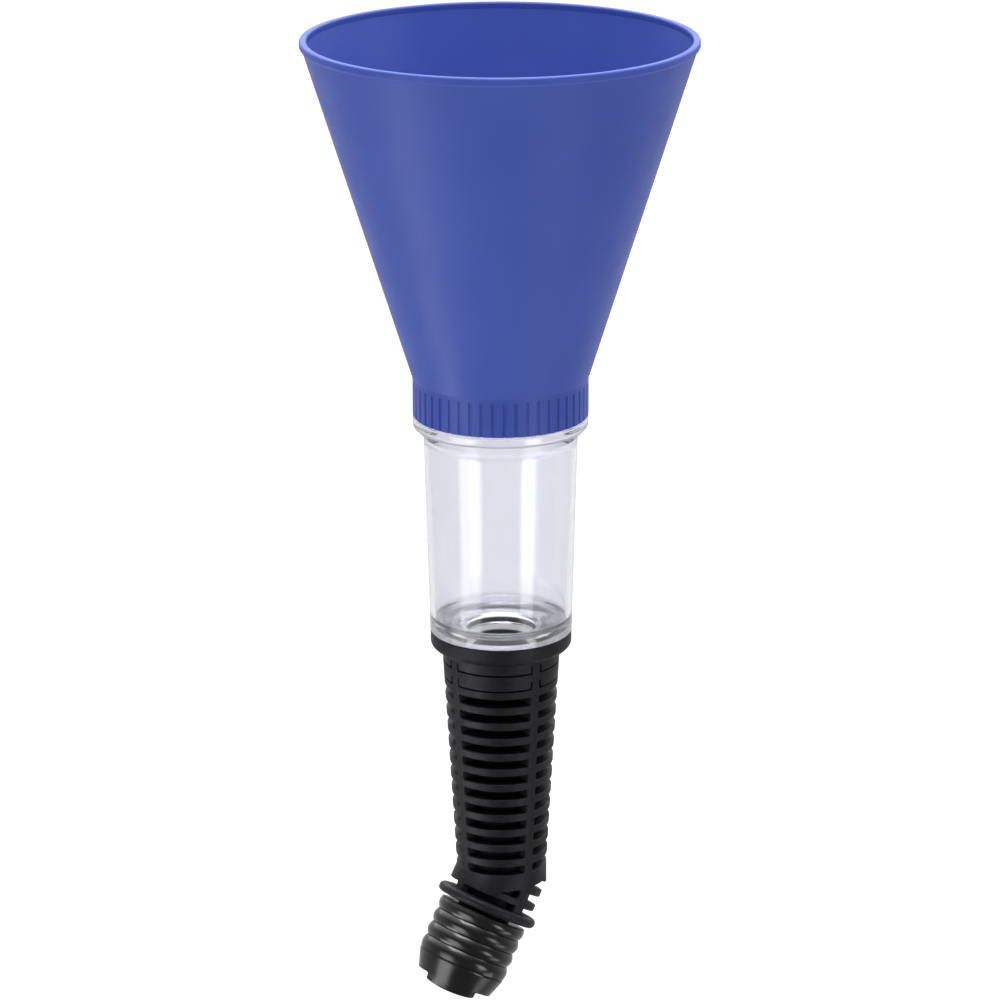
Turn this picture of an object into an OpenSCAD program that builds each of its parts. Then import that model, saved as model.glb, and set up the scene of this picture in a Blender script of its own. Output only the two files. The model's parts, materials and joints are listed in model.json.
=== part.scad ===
// Filling funnel with a clear sight cup, an angled spout and a swivelling
// filler-neck nozzle.
//
// The origin is on the nozzle's axis, at its first holding ridge. +Z points up
// along the funnel's own axis, and the spout bends towards -X. Lengths are in mm.

/* [Funnel cone] */
// Outer radius of the rim
rim_r = 80; // [70:0.5:90]
// Height of the cone, from the collar's top to the rim
cone_h = 139.7; // [100:0.1:180]
// Wall thickness of the cone
cone_wall = 2.2; // [1.6:0.1:3]
// Height of the rim's bead
bead_h = 2.6; // [1.5:0.1:4]
// Thickness of the rim's bead
bead_t = 3; // [2.5:0.1:4]

/* [Grip collar] */
// Outer radius of the collar
collar_r = 36; // [35.5:0.1:38]
// Height of the collar
collar_h = 15.7; // [14.5:0.1:20]
// Number of grip grooves around the collar
groove_count = 48; // [12:1:60]
// Width of a grip groove
groove_w = 1.1; // [0.5:0.1:1.6]
// Depth of a grip groove
groove_depth = 0.7; // [0.3:0.1:1.2]
// Height of the plain band above the grooves
groove_top_gap = 1.7; // [0.5:0.1:4]
// Angle of the first groove when the funnel is screwed down
groove_angle = 3; // [0:0.5:7.5]

/* [Sight cup] */
// Outer radius of the wall just under the lip
cup_top_r = 31.3; // [30.5:0.1:32]
// Outer radius of the wall at the base
cup_base_r = 29.4; // [28:0.1:30.5]
// Height of the cup, from its base to the top of its lip
cup_h = 92.2; // [60:0.1:120]
// Height of the lip's straight edge
lip_h = 3.4; // [3:0.1:8]
// Height of the chamfer under the lip
lip_chamfer_h = 4.6; // [2:0.1:8]
// Wall thickness
cup_wall = 2.2; // [1.5:0.1:2.6]
// Height of the screwed neck above the lip
neck_h = 13.4; // [8:0.1:13.8]
// Outer radius of the screwed neck
neck_r = 32.6; // [32:0.1:32.7]
// Radius of the outlet in the floor
outlet_r = 14.4; // [13:0.1:15]
// Height of the floor's outer edge above the base
floor_edge_h = 6.1; // [5:0.1:8]

/* [Spout] */
// Length from the cup's base to the elbow's centre
trunk_h = 109; // [108:0.1:125]
// Angle between the nozzle and the funnel's axis
bend = 30; // [20:1:35]
// Radius of the top flange
flange_r = 29.3; // [28:0.1:30]
// Outer radius at the first row of slots
trunk_top_r = 24.2; // [22:0.1:25]
// Outer radius at the elbow
elbow_r = 19; // [17.5:0.1:19.5]
// Outer radius of the tube inside the fins
core_r = 14.5; // [14:0.1:15]
// Radius of the bore
bore_r = 12.5; // [10:0.1:12.8]
// Distance between rows of slots
row_pitch = 6.93; // [6.5:0.01:7.1]
// Height of a slot
slot_h = 3.6; // [3:0.1:4.5]
// Rows of blind panels under the flange
blind_rows = 2; // [0:1:4]
// Rows of slots in all, with the blind ones
row_count = 14; // [8:1:14]
// Width of the four long ribs
rib_w = 3.9; // [3:0.1:5]
// Radius of the stop disc
disc_r = 21.9; // [20.5:0.1:24]
// Thickness of the stop disc
disc_t = 4.2; // [3:0.1:5]

/* [Nozzle plug] */
// Outer radius over the ridges
ridge_r = 19.3; // [18.2:0.1:19.5]
// Number of holding ridges
ridge_count = 4; // [2:1:4]
// Distance between ridges
ridge_pitch = 6.05; // [5:0.05:6.5]
// Depth of the valleys between the ridges
valley_depth = 0.9; // [0.4:0.05:1.2]
// Radius of the tip just under the last ridge
tip_top_r = 18.85; // [18.4:0.05:18.9]
// Radius at the end of the tip
tip_r = 16.5; // [15.6:0.1:17.5]
// Width of the long tongue at the tip
tongue_w = 21.5; // [14:0.5:24]
// Length of the tongue past the rest of the tip
tongue_len = 4; // [1:0.1:6]
// Direction of the tongue around the nozzle's axis
tongue_angle = 225; // [0:1:360]
// Radius of the fillets where the tongue leaves the tip
tongue_fillet = 1; // [0.4:0.1:2]
// Radius of the outflow bore
outflow_r = 8.6; // [7:0.1:8.8]

/* [Hidden] */

$fn = 128;

// Distances along the nozzle's axis, downwards from the elbow's centre.
disc_top_l = 13.4;
disc_end_l = disc_top_l + disc_t;
disc_recess_r = 19.6;
disc_recess_h = 0.4;
plug_gap = 1.5;
plug_top_l = disc_end_l + plug_gap;
plug_top_band = 1.2;
first_ridge_l = plug_top_l + 2.3;
tip_band = 0.75;
tip_top_l = first_ridge_l + ridge_pitch * (ridge_count - 1) + ridge_pitch / 2 + tip_band;
tip_len = 7.4;
tip_end_l = tip_top_l + tip_len;
tongue_end_l = tip_end_l + tongue_len;
spigot_short_l = 2.4;
spigot_end_l = tip_end_l - spigot_short_l;

// The elbow's centre, seen from the origin.
elbow = first_ridge_l * [sin(bend), 0, cos(bend)];

// Heights on the funnel's axis, above the elbow's centre.
cup_base_h = trunk_h;
lip_top_h = cup_base_h + cup_h;
gasket_t = 0.8;
collar_base_h = lip_top_h + gasket_t;
collar_top_h = collar_base_h + collar_h;
rim_h = collar_top_h + cone_h;

// The collar's socket for the cup's screwed neck.
socket_r = neck_r + 0.4;
socket_top_h = lip_top_h + neck_h + 0.4;
throat_r = 30.2;
cup_neck_bore_r = cup_top_r - cup_wall;

// The joint between the cup and the spout.
cup_spigot_r = 17.6;
cup_spigot_len = 2.4;
seal_t = 2.2;
seal_bore_r = 12.8;
seat_r = cup_spigot_r + 0.05;
seat_h = cup_base_h - cup_spigot_len - seal_t;

// The slotted trunk. Row 0 is the one under the flange.
flange_side_h = 4.4;
flange_round_h = 3.5;
row0_h = cup_base_h - 13.4;
last_row_h = row0_h - (row_count - 1) * row_pitch;
band_base_h = last_row_h - row_pitch;
bend_slot_l = 0.6;
bend_rows = 2;
disc_slot_h = 2.9;

// The bore is two straight holes that meet in the elbow.
bore_end_depth = 4;
bend_bore_r = bore_r - 0.5;
bend_bore_overlap = 3.6;

// How far a solid reaches into the one that it is joined to, or a cut reaches past it.
overlap = 1;

// The blind panels' gaps.
blind_gap = 0.7;
blind_depth = 1.6;
big = 60;

// The swivel fit between the spout's spigot and the plug.
neck_out_r = 11.4;
neck_end_l = plug_top_l + 0.8;
spigot_r = 10.9;
spigot_lead = 0.6;
swivel_gap = 0.05;
end_play = 0.3;
plug_bore_r = spigot_r + swivel_gap;
plug_mouth_r = neck_out_r + 0.4;
ring_l = tip_top_l + 1.9;
ring_t = 1.2;
ring_groove_r = 9.9;
ring_out_r = 12.8;
tip_bore_r = 13.4;
o_ring_l = first_ridge_l + 4;
o_ring_w = 2.2;
o_ring_groove_w = 2.4;
o_ring_groove_r = 9.7;
tongue_bow = 1.1;
tongue_corner = 0.8;

// Points of an elliptical arc about centre c, from angle a0 to a1.
function arc(c, rx, ry, a0, a1, n = 8) =
    [for (i = [0:n]) let (a = a0 + (a1 - a0) * i / n) c + [rx * cos(a), ry * sin(a)]];

// Outer radius of the slotted trunk at height h above the elbow's centre.
function trunk_r(h) =
    elbow_r + (trunk_top_r - elbow_r) * max(0, h - last_row_h) / (row0_h - last_row_h);

// One holding ridge of the plug: a rounded crest with a short straight land, as points
// from the valley above it to the valley below it, which is as deep as below.
land_w = 1.5;
valley_w = 0.5;
function ridge_points(l, below = valley_depth) =
    let (half = (ridge_pitch - land_w - valley_w) / 2)
    concat(
        arc([ridge_r - valley_depth, -l + land_w / 2], valley_depth, half, 90, 0, 5),
        arc([ridge_r - below, -l - land_w / 2], below, half, 0, -90, 5));

module at_elbow() {
    translate(elbow) children();
}

// Children drawn about the nozzle's axis: a point L down the nozzle is at z = -L.
module along_nozzle() {
    at_elbow() rotate([0, bend, 0]) children();
}

// Everything on one side of the elbow's mitre plane: side 1 is above it, -1 below.
module mitre_half(side) {
    rotate([0, bend / 2, 0]) translate([0, 0, side * 2 * big]) cube(4 * big, center = true);
}

// A round bar down the funnel's axis from height up, cut off at the mitre.
module bar_above(r, up) {
    intersection() {
        translate([0, 0, -big / 2]) cylinder(r = r, h = up + big / 2);
        mitre_half(1);
    }
}

// A round bar from the mitre along the nozzle's axis, down to length down.
module bar_below(r, down) {
    intersection() {
        rotate([0, bend, 0]) translate([0, 0, -down]) cylinder(r = r, h = down + big / 2);
        mitre_half(-1);
    }
}

module bent_bar(r, up, down) {
    bar_above(r, up);
    bar_below(r, down);
}

// The four long ribs as two crossed plates, between heights h0 and h1.
module rib_cross(h0, h1) {
    for (a = [0, 90])
        rotate([0, 0, a]) translate([-big, -rib_w / 2, h0]) cube([2 * big, rib_w, h1 - h0]);
}

module funnel_cone() {
    slope = (rim_r - collar_r) / cone_h;
    inset = cone_wall / cos(atan(slope));
    bead_base_h = rim_h - bead_h;
    outer_bead_base = rim_r - slope * bead_h;
    edge_round = 0.8;
    profile = concat(
        [[socket_r, collar_base_h], [collar_r - 0.3, collar_base_h], [collar_r, collar_base_h + 0.3],
         [collar_r, collar_top_h], [outer_bead_base - slope, bead_base_h - 1], [rim_r, bead_base_h]],
        arc([rim_r - edge_round, rim_h - edge_round], edge_round, edge_round, 0, 90, 4),
        arc([rim_r - bead_t + edge_round, rim_h - edge_round], edge_round, edge_round, 90, 180, 4),
        [[outer_bead_base - inset, bead_base_h], [collar_r - inset, collar_top_h],
         [throat_r, socket_top_h + 0.8], [throat_r, socket_top_h], [socket_r, socket_top_h]]);
    color("#3c4bb0") at_elbow() difference() {
        rotate_extrude() polygon(profile);
        for (i = [0:groove_count - 1])
            rotate([0, 0, groove_angle + i * 360 / groove_count])
                translate([collar_r - groove_depth, -groove_w / 2, collar_base_h - 1])
                    cube([2, groove_w, collar_h - groove_top_gap + 1]);
    }
}

// A flat ring whose outer edge stands clear of the cup's lip.
module collar_gasket() {
    outer_r = collar_r - 0.25;
    seat_w = 0.8;
    relief_h = 0.3;
    color("#dcdcdc") at_elbow() translate([0, 0, lip_top_h]) rotate_extrude() polygon([
        [socket_r, 0], [socket_r + seat_w, 0], [socket_r + seat_w, relief_h], [outer_r, relief_h],
        [outer_r, gasket_t], [socket_r, gasket_t]]);
}

module sight_cup() {
    lip_base_h = lip_top_h - lip_h;
    wall_top_h = lip_base_h - lip_chamfer_h;
    floor_h = cup_base_h + floor_edge_h;
    step_r = 16.5;
    step_h = 3;
    outlet_edge_h = 0.6;
    floor_out_r = cup_base_r - cup_wall - 1.7;
    corner_r = 1.7;
    profile = concat(
        [[outlet_r, cup_base_h - cup_spigot_len], [cup_spigot_r, cup_base_h - cup_spigot_len],
         [cup_spigot_r, cup_base_h], [cup_base_r - 0.5, cup_base_h], [cup_base_r, cup_base_h + 0.5],
         [cup_top_r, wall_top_h], [collar_r, lip_base_h], [collar_r, lip_top_h - 0.4],
         [collar_r - 0.4, lip_top_h], [neck_r, lip_top_h], [neck_r, lip_top_h + neck_h],
         [cup_neck_bore_r, lip_top_h + neck_h], [cup_neck_bore_r, wall_top_h]],
        arc([floor_out_r, floor_h + corner_r], corner_r, corner_r, 0, -80, 5),
        [[step_r, cup_base_h + step_h], [outlet_r, cup_base_h + outlet_edge_h]]);
    color("#dfe4f2", 0.35) at_elbow() rotate_extrude() polygon(profile);
}

module outlet_seal() {
    lead_w = 1.6;
    lead_h = 1.8;
    color("white") at_elbow() translate([0, 0, seat_h]) rotate_extrude() polygon([
        [seal_bore_r, 0], [cup_spigot_r, 0], [cup_spigot_r, seal_t], [seal_bore_r + lead_w, seal_t],
        [seal_bore_r, seal_t - lead_h]]);
}

// The spout's outside above the mitre, with its flange.
module trunk_solid() {
    side_base_h = cup_base_h - flange_side_h;
    under_h = side_base_h - flange_round_h;
    top_edge = 0.4;
    profile = concat(
        [[0, -big / 2], [elbow_r, -big / 2], [elbow_r, last_row_h], [trunk_top_r, row0_h],
         [trunk_r(under_h), under_h]],
        arc([trunk_r(under_h), side_base_h], flange_r - trunk_r(under_h), flange_round_h, -80, 0),
        [[flange_r, cup_base_h - top_edge], [flange_r - top_edge, cup_base_h], [0, cup_base_h]]);
    intersection() {
        rotate_extrude() polygon(profile);
        mitre_half(1);
    }
}

// The spout's outside below the elbow: the stop disc, with a shallow recess over the plug,
// and the plug's spigot.
module stub_solid() {
    edge = 1.6;
    rotate([0, bend, 0]) rotate_extrude() polygon(concat(
        [[0, -disc_top_l]],
        arc([disc_r - edge, -disc_top_l - edge], edge, edge, 90, 0, 4),
        arc([disc_r - edge, -disc_end_l + edge], edge, edge, 0, -90, 4),
        [[disc_recess_r, -disc_end_l], [disc_recess_r, -disc_end_l + disc_recess_h],
         [neck_out_r, -disc_end_l + disc_recess_h], [neck_out_r, -neck_end_l], [spigot_r, -neck_end_l],
         [spigot_r, -o_ring_l + o_ring_groove_w / 2], [o_ring_groove_r, -o_ring_l + o_ring_groove_w / 2],
         [o_ring_groove_r, -o_ring_l - o_ring_groove_w / 2], [spigot_r, -o_ring_l - o_ring_groove_w / 2],
         [spigot_r, -ring_l], [ring_groove_r, -ring_l], [ring_groove_r, -ring_l - ring_t],
         [spigot_r, -ring_l - ring_t], [spigot_r, -spigot_end_l + spigot_lead],
         [spigot_r - spigot_lead, -spigot_end_l],
         [0, -spigot_end_l]]));
}

// One row of four open slots, with its bottom at height h.
module open_row(h) {
    translate([0, 0, h]) cylinder(r = big / 2, h = slot_h);
}

// One row of blind panels: a narrow gap along the bottom and up both ends of each.
module blind_row(h) {
    panel_w = rib_w / 2 + blind_gap;
    difference() {
        translate([0, 0, h]) cylinder(r = big / 2, h = slot_h);
        translate([0, 0, h - 1]) cylinder(r = trunk_r(h) - blind_depth, h = slot_h + 2);
        for (a = [0:90:270])
            rotate([0, 0, a]) translate([panel_w, panel_w, h + blind_gap]) cube(big);
    }
}

// The slots of the bend are square to the nozzle's axis. The first rows stay below the
// trunk's solid band; the last one lies on the stop disc and runs the full way round.
module bend_slots() {
    difference() {
        union() {
            difference() {
                rotate([0, bend, 0]) for (row = [0:bend_rows - 1])
                    translate([0, 0, -bend_slot_l - row * row_pitch])
                        cylinder(r = big / 2, h = slot_h);
                translate([0, 0, band_base_h]) cylinder(r = big, h = big);
            }
            rotate([0, bend, 0]) translate([0, 0, -disc_top_l])
                cylinder(r = big / 2, h = disc_slot_h);
        }
        rotate([0, bend, 0]) rib_cross(-big, big);
    }
}

module spout_body() {
    color("#1b1c1e") at_elbow() difference() {
        union() {
            trunk_solid();
            bar_below(elbow_r, disc_top_l + overlap);
            stub_solid();
        }
        difference() {
            union() {
                difference() {
                    union() {
                        for (row = [blind_rows:row_count - 1]) open_row(row0_h - row * row_pitch);
                        for (row = [0:1:blind_rows - 1]) blind_row(row0_h - row * row_pitch);
                    }
                    rib_cross(0, cup_base_h);
                }
                bend_slots();
            }
            bent_bar(core_r, cup_base_h, disc_top_l + overlap);
        }
        translate([0, 0, -bore_end_depth]) cylinder(r = bore_r, h = cup_base_h + 2 * bore_end_depth);
        rotate([0, bend, 0]) translate([0, 0, -disc_top_l])
            cylinder(r = bend_bore_r, h = disc_top_l + bend_bore_overlap);
        translate([0, 0, seat_h]) cylinder(r = seat_r, h = cup_base_h);
        rotate([0, bend, 0]) translate([0, 0, -spigot_end_l - overlap])
            cylinder(r = outflow_r, h = spigot_end_l - disc_top_l + 2 * overlap);
    }
}

// The outline of the long tongue, as (distance from its middle, distance up the nozzle):
// filleted where it leaves the tip, with rounded corners and a bowed end.
function tongue_side() =
    let (half = tongue_w / 2, end = -tongue_end_l + tongue_bow)
    concat(
        [[half + 2 * tongue_fillet, -tip_end_l + overlap], [half + 2 * tongue_fillet, -tip_end_l]],
        arc([half + tongue_fillet, -tip_end_l - tongue_fillet], tongue_fillet, tongue_fillet, 90, 180, 4),
        arc([half - tongue_corner, end + tongue_corner], tongue_corner, tongue_corner, 0, -80, 3));

function tongue_outline() =
    let (half = tongue_w / 2 - 2 * tongue_corner,
        side = tongue_side(),
        bow = [for (y = [half:-half / 4:-half + 0.01])
            [y, -tongue_end_l + tongue_bow * pow(y / (tongue_w / 2), 2)]])
    concat(side, bow, [for (i = [len(side) - 1:-1:0]) [-side[i][0], side[i][1]]]);

module nozzle_plug() {
    cone_drop = (tip_top_r - tip_r) / (tip_end_l - tip_top_l);
    tongue_end_r = tip_r - cone_drop * tongue_len;
    shoulder_l = ring_l - end_play;
    mouth_end_l = neck_end_l + end_play;
    top_edge = 0.5;
    end_round = 0.8;
    ridges = [for (i = [0:ridge_count - 1]) each ridge_points(first_ridge_l + i * ridge_pitch,
        i < ridge_count - 1 ? valley_depth : ridge_r - tip_top_r)];
    outside = [for (p = ridges) if (p[1] < -plug_top_l - plug_top_band) p];
    profile = concat(
        [[plug_mouth_r, -plug_top_l], [outside[0][0] - top_edge, -plug_top_l],
         [outside[0][0] - 0.1, -plug_top_l - top_edge]],
        outside,
        [[tip_top_r, -tip_top_l], [tongue_end_r, -tongue_end_l + end_round],
         [tongue_end_r - end_round, -tongue_end_l], [tip_bore_r, -tongue_end_l],
         [tip_bore_r, -shoulder_l], [plug_bore_r, -shoulder_l],
         [plug_bore_r, -mouth_end_l], [plug_mouth_r, -mouth_end_l]]);
    color("#101113") along_nozzle() difference() {
        rotate_extrude() polygon(profile);
        // All of the tip's end but the tongue is cut short.
        rotate([0, 0, tongue_angle]) difference() {
            translate([0, 0, -tongue_end_l - overlap]) cylinder(r = big, h = tongue_len + overlap);
            rotate([90, 0, 90]) linear_extrude(height = 2 * big) polygon(tongue_outline());
        }
    }
}

module plug_o_ring() {
    inner = o_ring_groove_r;
    w = spigot_r - inner;
    corner = 0.5;
    color("#33302d") along_nozzle() translate([0, 0, -o_ring_l]) rotate_extrude() polygon(concat(
        arc([inner + w - corner, o_ring_w / 2 - corner], corner, corner, 0, 90, 3),
        arc([inner + corner, o_ring_w / 2 - corner], corner, corner, 90, 180, 3),
        arc([inner + corner, -o_ring_w / 2 + corner], corner, corner, 180, 270, 3),
        arc([inner + w - corner, -o_ring_w / 2 + corner], corner, corner, 270, 360, 3)));
}

module plug_retaining_ring() {
    gap_w = 7;
    color("#8d9094") along_nozzle() translate([0, 0, -ring_l - ring_t]) difference() {
        cylinder(r = ring_out_r, h = ring_t);
        translate([0, 0, -1]) cylinder(r = ring_groove_r, h = ring_t + 2);
        translate([0, -gap_w / 2, -1]) cube([big, gap_w, ring_t + 2]);
    }
}

funnel_cone();
collar_gasket();
sight_cup();
outlet_seal();
spout_body();
nozzle_plug();
plug_o_ring();
plug_retaining_ring();
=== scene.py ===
"""Looks of the filling funnel: cone, sight cup, finned spout and ribbed nozzle.

Lengths in this script are in millimetres until a mesh is made, and MM turns them into metres.
Heights h are above the elbow's centre along the funnel's axis; lengths L are below it along the
nozzle's axis. Profiles are lists of (radius, height) or (radius, height, fillet radius).
"""

import json
import math

import bmesh
import bpy
from mathutils import Matrix, Vector


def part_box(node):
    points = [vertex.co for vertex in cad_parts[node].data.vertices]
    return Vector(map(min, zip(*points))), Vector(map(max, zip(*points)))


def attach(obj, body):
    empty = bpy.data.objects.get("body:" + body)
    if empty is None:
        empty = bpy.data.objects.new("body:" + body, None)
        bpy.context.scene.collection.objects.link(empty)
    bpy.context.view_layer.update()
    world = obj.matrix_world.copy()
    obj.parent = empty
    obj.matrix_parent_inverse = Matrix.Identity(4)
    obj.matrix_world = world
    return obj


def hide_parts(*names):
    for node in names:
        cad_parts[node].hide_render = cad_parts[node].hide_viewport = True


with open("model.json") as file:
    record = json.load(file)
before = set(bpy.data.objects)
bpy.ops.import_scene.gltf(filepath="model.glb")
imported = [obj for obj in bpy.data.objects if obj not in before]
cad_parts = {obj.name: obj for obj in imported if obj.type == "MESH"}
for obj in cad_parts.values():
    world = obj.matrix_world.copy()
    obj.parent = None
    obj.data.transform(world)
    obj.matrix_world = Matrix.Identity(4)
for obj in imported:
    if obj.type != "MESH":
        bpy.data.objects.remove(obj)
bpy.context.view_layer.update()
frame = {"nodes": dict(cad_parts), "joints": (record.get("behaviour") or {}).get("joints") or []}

MM = 0.001


# ---------------------------------------------------------------- the frame's driving places

joints = {j["name"]: j for j in frame["joints"]}
NOZZLE_AXIS = Vector(joints["nozzle_swivel"]["axis"]).normalized()
BEND = math.asin(-NOZZLE_AXIS.x)
AXIS_X = joints["funnel_turn"]["pos_m"][0] / MM
ELBOW_Z = AXIS_X / math.tan(BEND)

FUNNEL_FRAME = Matrix.Translation((AXIS_X, 0, ELBOW_Z))
NOZZLE_FRAME = FUNNEL_FRAME @ Matrix.Rotation(BEND, 4, "Y")


def height(node, end):
    """Height of a node's lowest (end 0) or highest (end 1) point above the elbow."""
    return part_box(node)[end].z / MM - ELBOW_Z


RIM_H = height("funnel_cone", 1)
COLLAR_BASE_H = height("funnel_cone", 0)
LIP_TOP_H = height("collar_gasket", 0)
NECK_TOP_H = height("sight_cup", 1)
CUP_FOOT_H = height("sight_cup", 0)
CUP_BASE_H = height("spout_body", 1)
SEAL_BASE_H = height("outlet_seal", 0)

RIM_R = (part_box("funnel_cone")[1].x / MM) - AXIS_X
COLLAR_R = (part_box("sight_cup")[1].x / MM) - AXIS_X


# ---------------------------------------------------------------- mesh helpers

def arc(centre, radius, a0, a1, steps):
    """Points of an arc in the (radius, height) plane, angles in degrees."""
    points = []
    for i in range(steps + 1):
        a = math.radians(a0 + (a1 - a0) * i / steps)
        points.append((centre[0] + radius * math.cos(a), centre[1] + radius * math.sin(a)))
    return points


def filleted(profile, steps=5):
    """A closed outline with each corner that has a third number rounded by that radius."""
    out = []
    count = len(profile)
    for i, corner in enumerate(profile):
        p = Vector(corner[:2])
        fillet = corner[2] if len(corner) > 2 else 0
        if not fillet:
            out.append((p.x, p.y))
            continue
        to_prev = (Vector(profile[i - 1][:2]) - p).normalized()
        to_next = (Vector(profile[(i + 1) % count][:2]) - p).normalized()
        half = to_prev.angle(to_next) / 2
        reach = fillet / math.tan(half)
        centre = p + (to_prev + to_next).normalized() * (fillet / math.sin(half))
        start = p + to_prev * reach - centre
        end = p + to_next * reach - centre
        sweep = math.pi - 2 * half
        sign = 1 if start.x * end.y > start.y * end.x else -1
        for s in range(steps + 1):
            rotated = Matrix.Rotation(sign * sweep * s / steps, 2) @ start
            out.append((centre.x + rotated.x, centre.y + rotated.y))
    return out


def even_angles(count):
    return [2 * math.pi * i / count for i in range(count)]


def add_object(name, bm, place):
    """Turns a bmesh in millimetres into an object in metres, set in the row's frame."""
    bmesh.ops.recalc_face_normals(bm, faces=bm.faces)
    mesh = bpy.data.meshes.new(name)
    bm.to_mesh(mesh)
    bm.free()
    mesh.transform(place)
    mesh.transform(Matrix.Scale(MM, 4))
    obj = bpy.data.objects.new(name, mesh)
    bpy.context.scene.collection.objects.link(obj)
    return obj


def lathe_bm(profile, angles, radius_at=None):
    """A closed outline turned about the z axis. radius_at(r, z, angle) may change a radius."""
    bm = bmesh.new()
    rings = []
    for r, z in profile:
        if r < 1e-6:
            rings.append([bm.verts.new((0, 0, z))] * len(angles))
            continue
        ring = []
        for a in angles:
            rr = radius_at(r, z, a) if radius_at else r
            ring.append(bm.verts.new((rr * math.cos(a), rr * math.sin(a), z)))
        rings.append(ring)
    count = len(angles)
    for i, ring in enumerate(rings):
        below = rings[i - 1]
        for j in range(count):
            k = (j + 1) % count
            corners = []
            for v in (below[j], below[k], ring[k], ring[j]):
                if v not in corners:
                    corners.append(v)
            if len(corners) > 2:
                bm.faces.new(corners)
    return bm


def lathe(name, profile, place=FUNNEL_FRAME, segments=192, angles=None, radius_at=None):
    return add_object(name, lathe_bm(profile, angles or even_angles(segments), radius_at), place)


def prism(name, outline, h0, h1, place, outline_top=None):
    """A straight solid between an outline at height h0 and one at h1."""
    bm = bmesh.new()
    low = [bm.verts.new((x, y, h0)) for x, y in outline]
    high = [bm.verts.new((x, y, h1)) for x, y in (outline_top or outline)]
    bm.faces.new(low[::-1])
    bm.faces.new(high)
    for i in range(len(low)):
        bm.faces.new((low[i - 1], low[i], high[i], high[i - 1]))
    return add_object(name, bm, place)


def block(name, low, high, place):
    outline = [(low[0], low[1]), (high[0], low[1]), (high[0], high[1]), (low[0], high[1])]
    return prism(name, outline, low[2], high[2], place)


def combine(target, tool, operation):
    """Boolean of two closed solids; the tool is used up."""
    step = target.modifiers.new("step", "BOOLEAN")
    step.object = tool
    step.operation = operation
    step.solver = "MANIFOLD"
    depsgraph = bpy.context.evaluated_depsgraph_get()
    mesh = bpy.data.meshes.new_from_object(target.evaluated_get(depsgraph))
    target.modifiers.clear()
    old = target.data
    target.data = mesh
    bpy.data.meshes.remove(old)
    bpy.data.objects.remove(tool)
    return target


def cut(target, *tools):
    for tool in tools:
        combine(target, tool, "DIFFERENCE")
    return target


def join(target, *tools):
    for tool in tools:
        combine(target, tool, "UNION")
    return target


def finish_piece(obj, name, node, body, material, sharp=40):
    """Names a finished piece, smooths it and puts it in place of its CAD node."""
    obj.name = name
    obj.data.name = name
    bm = bmesh.new()
    bm.from_mesh(obj.data)
    bmesh.ops.remove_doubles(bm, verts=bm.verts, dist=1e-7)
    bm.to_mesh(obj.data)
    bm.free()
    obj.data.polygons.foreach_set("use_smooth", [True] * len(obj.data.polygons))
    obj.data.set_sharp_from_angle(angle=math.radians(sharp))
    obj.data.materials.clear()
    obj.data.materials.append(material)
    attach(obj, body)
    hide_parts(node)
    return obj


# ---------------------------------------------------------------- sizes that materials use too

CUP_TOP_R = 31.7
CUP_BASE_R = 29.4
CUP_WALL = 2.2
LIP_H = 3.4
LIP_CHAMFER_H = 4.3
NECK_R = 32.6
OUTLET_R = 14.4
FLOOR_EDGE_H = 6.1
CUP_SPIGOT_R = 17.6
SEAL_BORE_R = 12.8
SEAL_LEAD_W = 1.6
SEAL_LEAD_H = 1.8
STEP_R = 16.5
FLOOR_RINGS = (25.2, 23.4, 20.5)
FLOOR_RING_DEPTH = 0.35
FLOOR_RING_HALF_W = 0.35
FLOOR_RING_EDGE = 0.12
FLOOR_STEP_H = 3
CORE_R = 14.5


# ---------------------------------------------------------------- materials

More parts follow.
